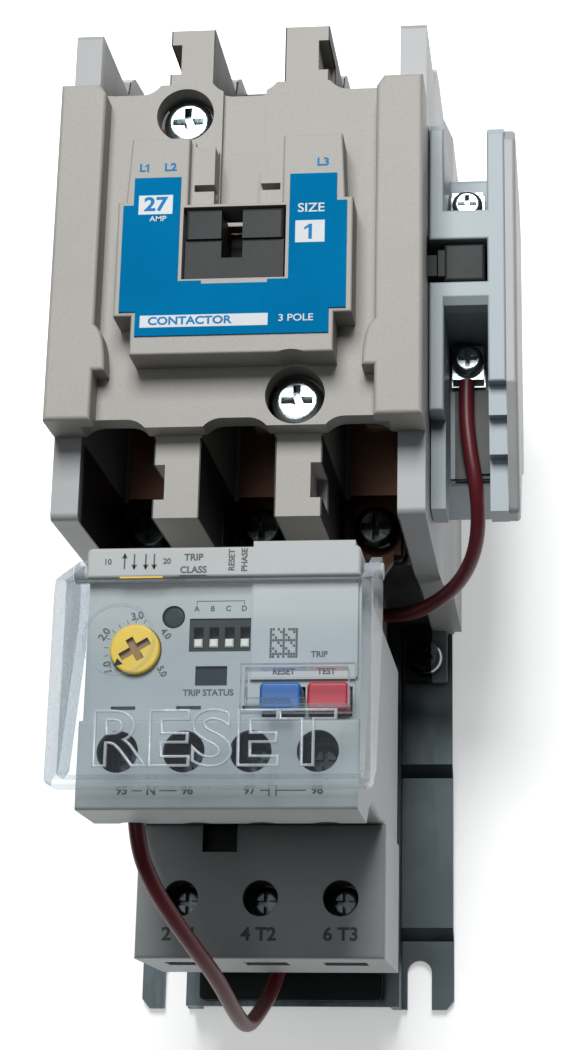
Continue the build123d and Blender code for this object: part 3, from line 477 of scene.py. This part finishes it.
def printRelay():
    tab, face = relayValues["tabFace"], relayValues["face"]
    joined("tab_words", [textMesh(w, (x, y, tab), h, spin, 0.02) for w, x, y, h, spin in relayValues["tabWords"]],
           printFinishes["grey"])
    arrows = []
    for x, way in ((-15.6, 1), (-14.0, -1), (-12.1, -1), (-10.7, -1)):
        arrows.append(bar(x - 0.13, x + 0.13, -28.2, -25.7))
        tip = -25.5 if way > 0 else -28.4
        arrows.append([(x, tip), (x - 0.5, tip - way * 0.9), (x + 0.5, tip - way * 0.9)][::way])
    arrows.append(bar(-6.5, -2, -29.45, -29.3))
    joined("tab_arrows", [prismMesh(arrows, tab - 0.02, tab + 0.02)], printFinishes["grey"])
    joined("tab_strip", [prismMesh([bar(-16.3, -9.2, -29.75, -29.5)], tab - 0.3, tab + 0.02)],
           printFinishes["yellow"])
    joined("face_words", [textMesh(w, (x, y, face), h, spin, 0.02) for w, x, y, h, spin in relayValues["faceWords"]],
           printFinishes["grey"])
    cx, cy = relayValues["dialCentre"]
    ticks = []
    for angle in relayValues["tickAngles"]:
        dx, dy = math.cos(math.radians(angle)), math.sin(math.radians(angle))
        ticks.append(line(cx + dx * 4.6, cy + dy * 4.6, cx + dx * 5.3, cy + dy * 5.3, 0.12))
    ticks.append(line(-3.9, -33.6, -3.9, -33.0, 0.12))
    ticks.append(line(3.9, -33.6, 3.9, -33.0, 0.12))
    ticks.append(line(-3.9, -33.0, 3.9, -33.0, 0.12))
    arrow, dialFace = relayValues["dialArrow"], relayValues["dialFace"]
    joined("dial_arrow", [prismMesh([arrow], dialFace, dialFace + 0.11)],
           printFinishes["black"], "dial_body")
    joined("dial_ticks", [prismMesh(ticks, face - 0.02, face + 0.02)], printFinishes["grey"])
    y = relayValues["bandY"]
    joined("band_words", [textMesh(w, (x, y, tab), h, thick=0.02) for w, x, h in relayValues["bandWords"]],
           printFinishes["grey"])
    strokes = [line(x0, y, x1, y, 0.16) for x0, x1 in relayValues["bandDashes"]]
    strokes += [bar(x - 0.1, x + 0.1, y - 0.9, y + 0.9) for x in (9.1, 10.2)]
    joined("band_symbols", [prismMesh(strokes, tab - 0.02, tab + 0.02)], printFinishes["grey"])
    joined("block_words", [textMesh(w, (x, y, relayValues["blockFace"]), h, thick=0.02, stretch=1.05)
                           for w, x, y, h in relayValues["blockWords"]], printFinishes["grey"])
    cells = []
    for i in range(11):
        for j in range(11):
            if (i * 7 + j * 5 + i * j * 3) % 5 < 2 or i in (0, 10) and j % 2 or j in (0, 10) and i % 2:
                cells.append(bar(8.3 + i * 0.42, 8.66 + i * 0.42, -42.7 + j * 0.45, -42.31 + j * 0.45))
    sticker = relayValues["stickerFace"]
    joined("face_sticker", [prismMesh([bar(*relayValues["sticker"])], sticker - 0.1, sticker + 0.01)],
           printFinishes["sticker"])
    joined("sticker_words", [textMesh(w, (x, y, sticker + 0.03), h, spin, 0.02)
                             for w, x, y, h, spin in relayValues["stickerWords"]], printFinishes["grey"])
    joined("face_patch", [prismMesh(cells, sticker, sticker + 0.05)], printFinishes["grey"])


# Raised letters and ring on the clear cover
coverValues = {
    "face": 126.0,
    "words": ("RESET", 1.2, -58.2, 8.8),
    "ring": (-14.1, -42.0, 5.6, 0.28),
}


def raiseCoverMarks():
    word, x, y, height = coverValues["words"]
    letters = textMesh(word, (x, y, coverValues["face"] + 0.1), height, thick=0.1, stretch=1.2,
                       bevel=0.2, weight=0.02, hollow=True)
    joined("cover_letters", [letters], printFinishes["frosted"], "cover_body")
    rx, ry, radius, thick = coverValues["ring"]
    ring = bmesh.new()
    steps, around = 64, 8
    rows = []
    for i in range(steps):
        a = 2 * math.pi * i / steps
        row = []
        for j in range(around):
            b = 2 * math.pi * j / around
            r = (radius + thick * math.cos(b)) * mm
            row.append(ring.verts.new((rx * mm + r * math.cos(a), ry * mm + r * math.sin(a),
                                       (coverValues["face"] + thick * math.sin(b)) * mm)))
        rows.append(row)
    for i in range(steps):
        for j in range(around):
            ring.faces.new((rows[i][j], rows[(i + 1) % steps][j], rows[(i + 1) % steps][(j + 1) % around],
                            rows[i][(j + 1) % around]))
    made = bpy.data.meshes.new("ring")
    ring.to_mesh(made)
    ring.free()
    made.polygons.foreach_set("use_smooth", [True] * len(made.polygons))
    addPiece("cover_ring", made, finishes["clear_plastic"], "cover_body")


printLabel()
printRelay()
raiseCoverMarks()
print("marks made")

# The two control wires: routes in millimetres, along the middle of each wire
wireShape = {"diameter": 2.8, "sides": 10}
wireRoutes = {
    "holding_wire": [(38.4, 18.3, 74.8), (38.2, 12, 74.8), (38.9, 5, 74.9), (40, -1.5, 74.2), (40.4, -7.5, 70.6),
                     (39.3, -12.4, 65), (36.3, -16, 58.6), (31.8, -18.1, 52.4), (27, -18.9, 47), (23, -18.4, 42.8),
                     (19, -18, 40.7)],
    "coil_wire": [(-15.4, -62, 101), (-15.2, -69, 100.6), (-13.2, -76.2, 97), (-8.8, -83.6, 89), (-4.6, -90, 78),
                  (-2.9, -95.4, 66), (-2.4, -97.2, 54.5), (-1.8, -93.5, 42.5), (-1, -88, 29), (0.4, -77, 19.5),
                  (1.2, -63, 16.4), (-0.4, -49, 17.4), (-3.4, -37, 18.2), (-5.6, -28, 23.4), (-6.2, -21.8, 31.5),
                  (-7, -18.6, 38.4), (-12, -18, 40.7)],
}


def layWire(node, route):
    curve = bpy.data.curves.new(node + "_insulation", "CURVE")
    curve.dimensions = "3D"
    curve.bevel_depth = wireShape["diameter"] / 2 * mm
    curve.bevel_resolution = wireShape["sides"] // 2
    curve.use_fill_caps = True
    spline = curve.splines.new("NURBS")
    spline.points.add(len(route) - 1)
    for point, place in zip(spline.points, route):
        point.co = (*[v * mm for v in place], 1)
    spline.order_u = 3
    spline.use_endpoint_u = True
    spline.resolution_u = 12
    wire = bpy.data.objects.new(node + "_insulation", curve)
    bpy.context.scene.collection.objects.link(wire)
    curve.materials.append(finishes["wire_red"])
    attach(wire, "frame")
    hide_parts(node)


for node, route in wireRoutes.items():
    layWire(node, route)
print("wires laid")

# Springs copied to ride on the part above them as it travels; their length is not changed
springJoints = {
    "return_springs": "contact_carrier_slide",
    "aux_spring": "aux_plunger_slide",
    "reset_spring": "reset_button_slide",
    "test_spring": "test_button_slide",
}


def layShorteningSpring(node, jointName):
    joint = next(entry for entry in frame["joints"] if entry["name"] == jointName)
    low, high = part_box(node)
    tall, travel = high[2] - low[2], -joint["range_m"][0]
    mesh = nodes[node].data.copy()
    mesh.transform(nodes[node].matrix_world)
    spring = addPiece(node + "_coil", mesh, finishes["spring_steel"], joint["child"])
    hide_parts(node)
    (tall - travel) / tall
    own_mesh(spring)


bpy.context.view_layer.update()
for node, jointName in springJoints.items():
    layShorteningSpring(node, jointName)
print("springs laid")

# Floor, lights and camera
stageValues = {
    "floorHalf": 1.4,
    "worldGlow": 0.05,
    "floorGlow": 0.42,
    "floorColor": (0.95, 0.955, 0.96),
    "cameraPlace": (56.17, -118.90, 457.22),
    "cameraYaw": 5.55,
    "cameraPitch": 17.95,
    "cameraRoll": 0.69,
    "lens": 74.95,
    "shiftX": -0.0714,
    "shiftY": -0.0733,
}


def makeFloor():
    mesh = bpy.data.meshes.new("floor")
    half = stageValues["floorHalf"]
    mesh.from_pydata([(-half, -half, 0), (half, -half, 0), (half, half, 0), (-half, half, 0)], [], [(0, 1, 2, 3)])
    floor = bpy.data.objects.new("floor", mesh)
    bpy.context.scene.collection.objects.link(floor)
    finish = Finish("floorPaint", Emission_Strength=stageValues["floorGlow"], Emission_Color=(1, 1, 1))
    tone = finish.mix(finish.ramp(finish.noise(6, 3), 0.3, 0.7), [c * 0.99 for c in stageValues["floorColor"]],
                      stageValues["floorColor"])
    mesh.materials.append(finish.set(Base_Color=tone, Roughness=finish.noise(8, 2) * 0.1 + 0.6))


lampValues = [
    {"name": "keyLight", "place": (0.0, 0.36, 0.76), "target": (0, 0, 0.08), "size": (0.36, 0.36), "power": 7.9},
    {"name": "fillLight", "place": (-0.25, -0.05, 1.2), "target": (0, 0, 0.05), "size": (0.4, 0.4), "power": 1.5,
     "color": (0.95, 0.98, 1)},
]


def areaLight(name, place, target, size, power, color=(1, 1, 1)):
    light = bpy.data.lights.new(name, "AREA")
    light.shape = "RECTANGLE"
    light.size, light.size_y = size
    light.energy = power
    light.color = color
    lamp = bpy.data.objects.new(name, light)
    bpy.context.scene.collection.objects.link(lamp)
    lamp.location = place
    lamp.rotation_euler = (Vector(target) - Vector(place)).to_track_quat("-Z", "Y").to_euler()


def makeCamera():
    yaw, pitch, roll = (math.radians(stageValues[k]) for k in ("cameraYaw", "cameraPitch", "cameraRoll"))
    forward = Vector((-math.sin(yaw) * math.cos(pitch), math.sin(pitch), -math.cos(yaw) * math.cos(pitch)))
    right = Vector((math.cos(yaw), 0, -math.sin(yaw)))
    up = right.cross(forward)
    sideways = right * math.cos(roll) + up * math.sin(roll)
    upright = up * math.cos(roll) - right * math.sin(roll)
    camera = bpy.data.cameras.new("camera")
    camera.lens = stageValues["lens"]
    camera.shift_x = stageValues["shiftX"]
    camera.shift_y = stageValues["shiftY"]
    camera.clip_start = 0.02
    camera.clip_end = 10
    view = bpy.data.objects.new("camera", camera)
    bpy.context.scene.collection.objects.link(view)
    turn = Matrix((sideways, upright, -forward)).transposed()
    view.matrix_world = Matrix.Translation(Vector(stageValues["cameraPlace"]) * mm) @ turn.to_4x4()
    bpy.context.scene.camera = view


makeFloor()
for lamp in lampValues:
    areaLight(**lamp)
world = bpy.data.worlds.new("studio")
world.use_nodes = True
world.node_tree.nodes["Background"].inputs[0].default_value = (0.92, 0.96, 1, 1)
world.node_tree.nodes["Background"].inputs[1].default_value = stageValues["worldGlow"]
bpy.context.scene.world = world
bpy.context.scene.view_settings.view_transform = "Standard"
makeCamera()
print("stage set")
